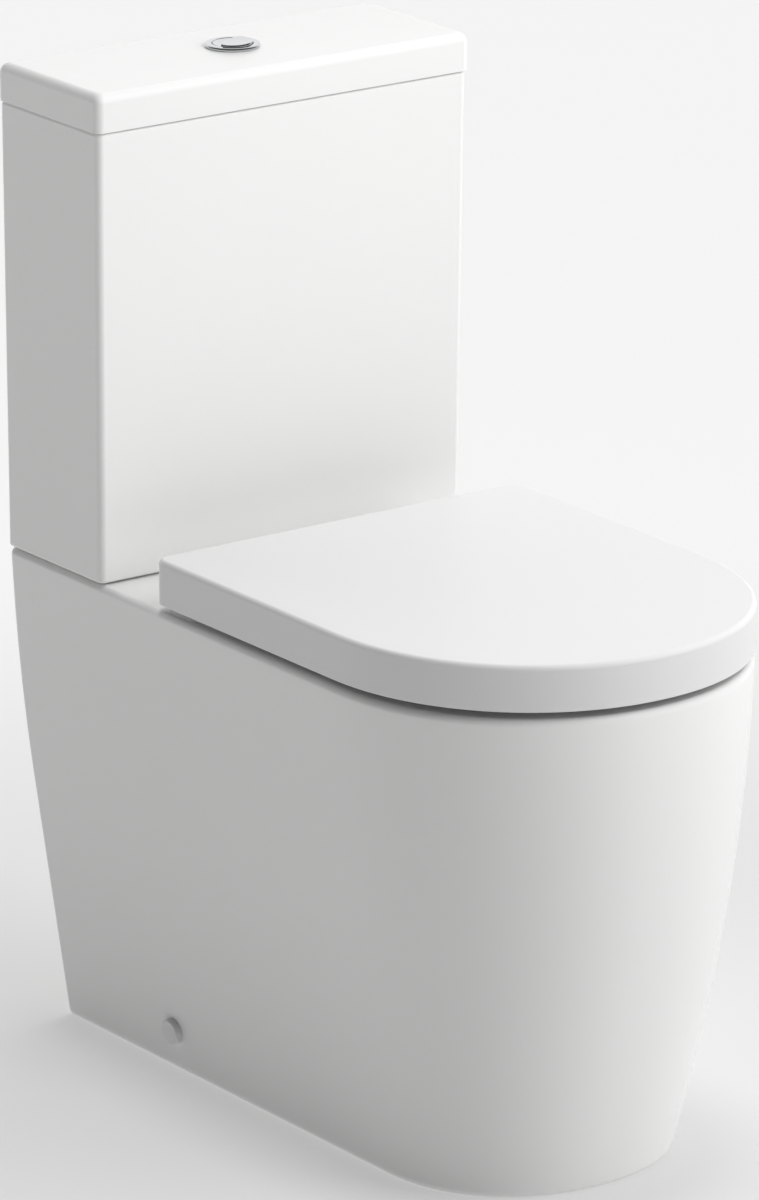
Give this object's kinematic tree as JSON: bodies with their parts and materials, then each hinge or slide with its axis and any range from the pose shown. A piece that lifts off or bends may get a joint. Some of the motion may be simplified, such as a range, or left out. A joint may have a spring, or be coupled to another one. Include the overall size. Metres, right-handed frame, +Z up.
{
  "type": "close coupled toilet",
  "caption": "Back-to-wall close coupled toilet with a skirted china pan, slim dual flush cistern and hinged wrap-over soft-close seat.",
  "frame": {"origin": "middle of the footprint at floor level", "axes": "+Z up, +Y towards the wall, +X to the right of a person who faces the toilet"},
  "size_m": [0.3648, 0.6446, 0.8262],
  "materials": {
    "china": "gloss white vitreous china glaze",
    "seat_plastic": "satin gloss white thermoset",
    "chrome": "polished plate",
    "steel": "plain stainless",
    "rubber": "matt black sealing rubber",
    "buffer_rubber": "translucent white soft rubber",
    "white_plastic": "moulded white plastic",
    "grey_plastic": "moulded grey plastic",
    "red_seal": "red silicone rubber"
  },
  "bodies": {
    "pan_and_cistern": {"pan": "china", "cistern_tank": "china", "left_side_cover_cap": "seat_plastic", "right_side_cover_cap": "seat_plastic", "left_hinge_post": "chrome", "right_hinge_post": "chrome", "fill_valve_lever_pin": "steel", "left_side_screw": "steel", "right_side_screw": "steel", "left_tank_bolt": "steel", "right_tank_bolt": "steel", "left_hinge_pin": "steel", "right_hinge_pin": "steel", "left_hinge_bolt": "steel", "right_hinge_bolt": "steel", "flush_valve_washer": "rubber", "close_coupling_washer": "rubber", "fill_valve_washer": "rubber", "left_tank_bolt_seal": "rubber", "right_tank_bolt_seal": "rubber", "left_tank_bolt_washer": "rubber", "right_tank_bolt_washer": "rubber", "left_hinge_washer": "rubber", "right_hinge_washer": "rubber", "flush_valve_base": "white_plastic", "flush_valve_backnut": "white_plastic", "flush_valve_tower": "white_plastic", "fill_valve_body": "white_plastic", "fill_valve_backnut": "white_plastic", "fill_valve_head": "white_plastic", "left_floor_bracket": "white_plastic", "right_floor_bracket": "white_plastic", "left_tank_wing_nut": "white_plastic", "right_tank_wing_nut": "white_plastic", "left_hinge_nut": "white_plastic", "right_hinge_nut": "white_plastic"},
    "cistern_lid": {"cistern_lid": "china", "button_bezel": "chrome", "button_bezel_nut": "white_plastic", "full_flush_spring": "steel", "half_flush_spring": "steel"},
    "full_flush_button": {"full_flush_button": "chrome", "full_flush_rod": "white_plastic"},
    "half_flush_button": {"half_flush_button": "chrome", "half_flush_rod": "white_plastic"},
    "flush_valve_lift": {"flush_valve_overflow_tube": "grey_plastic", "flush_valve_seal": "red_seal"},
    "half_flush_float": {"half_flush_float": "grey_plastic"},
    "fill_float": {"fill_valve_float": "grey_plastic", "fill_valve_link": "steel"},
    "fill_lever": {"fill_valve_lever": "grey_plastic"},
    "seat_ring": {"seat_ring": "seat_plastic", "ring_buffer_back_left": "buffer_rubber", "ring_buffer_back_right": "buffer_rubber", "ring_buffer_front_left": "buffer_rubber", "ring_buffer_front_right": "buffer_rubber"},
    "seat_lid": {"seat_lid": "seat_plastic", "lid_buffer_left": "buffer_rubber", "lid_buffer_right": "buffer_rubber"}
  },
  "joints": [
    {"name": "seat_hinge", "type": "hinge", "parent": "pan_and_cistern", "child": "seat_ring", "pos_m": [0, 0.0973, 0.434], "axis": [1, 0, 0], "range_deg": [-95, 0]},
    {"name": "lid_hinge", "type": "hinge", "parent": "seat_ring", "child": "seat_lid", "pos_m": [0, 0.0973, 0.434], "axis": [-1, 0, 0], "range_deg": [0, 95]},
    {"name": "cistern_lid_lift", "type": "slide", "parent": "pan_and_cistern", "child": "cistern_lid", "axis": [0, 0, 1], "range_m": [0, 0.15]},
    {"name": "full_flush_press", "type": "slide", "parent": "cistern_lid", "child": "full_flush_button", "axis": [0, 0, -1], "range_m": [0, 0.006], "stiffness_N_per_m": 300, "springref_m": -0.004, "deforming": ["full_flush_spring"]},
    {"name": "half_flush_press", "type": "slide", "parent": "cistern_lid", "child": "half_flush_button", "axis": [0, 0, -1], "range_m": [0, 0.006], "stiffness_N_per_m": 300, "springref_m": -0.004, "deforming": ["half_flush_spring"]},
    {"name": "flush_valve_lift", "type": "slide", "parent": "pan_and_cistern", "child": "flush_valve_lift", "axis": [0, 0, 1], "range_m": [0, 0.02]},
    {"name": "half_float_lift", "type": "slide", "parent": "pan_and_cistern", "child": "half_flush_float", "axis": [0, 0, 1], "range_m": [0, 0.02]},
    {"name": "fill_float_rise", "type": "slide", "parent": "pan_and_cistern", "child": "fill_float", "axis": [0, 0, 1], "range_m": [0, 0.018]},
    {"name": "fill_lever_turn", "type": "hinge", "parent": "pan_and_cistern", "child": "fill_lever", "pos_m": [-0.136, 0.2523, 0.706], "axis": [0, -1, 0], "range_deg": [0, 20]}
  ],
  "couplings": [
    {"joint": "flush_valve_lift", "follows": "full_flush_press", "ratio": 3.3},
    {"joint": "half_float_lift", "follows": "half_flush_press", "ratio": 3.3},
    {"joint": "fill_lever_turn", "follows": "fill_float_rise", "rad_per_m": 19.2}
  ]
}
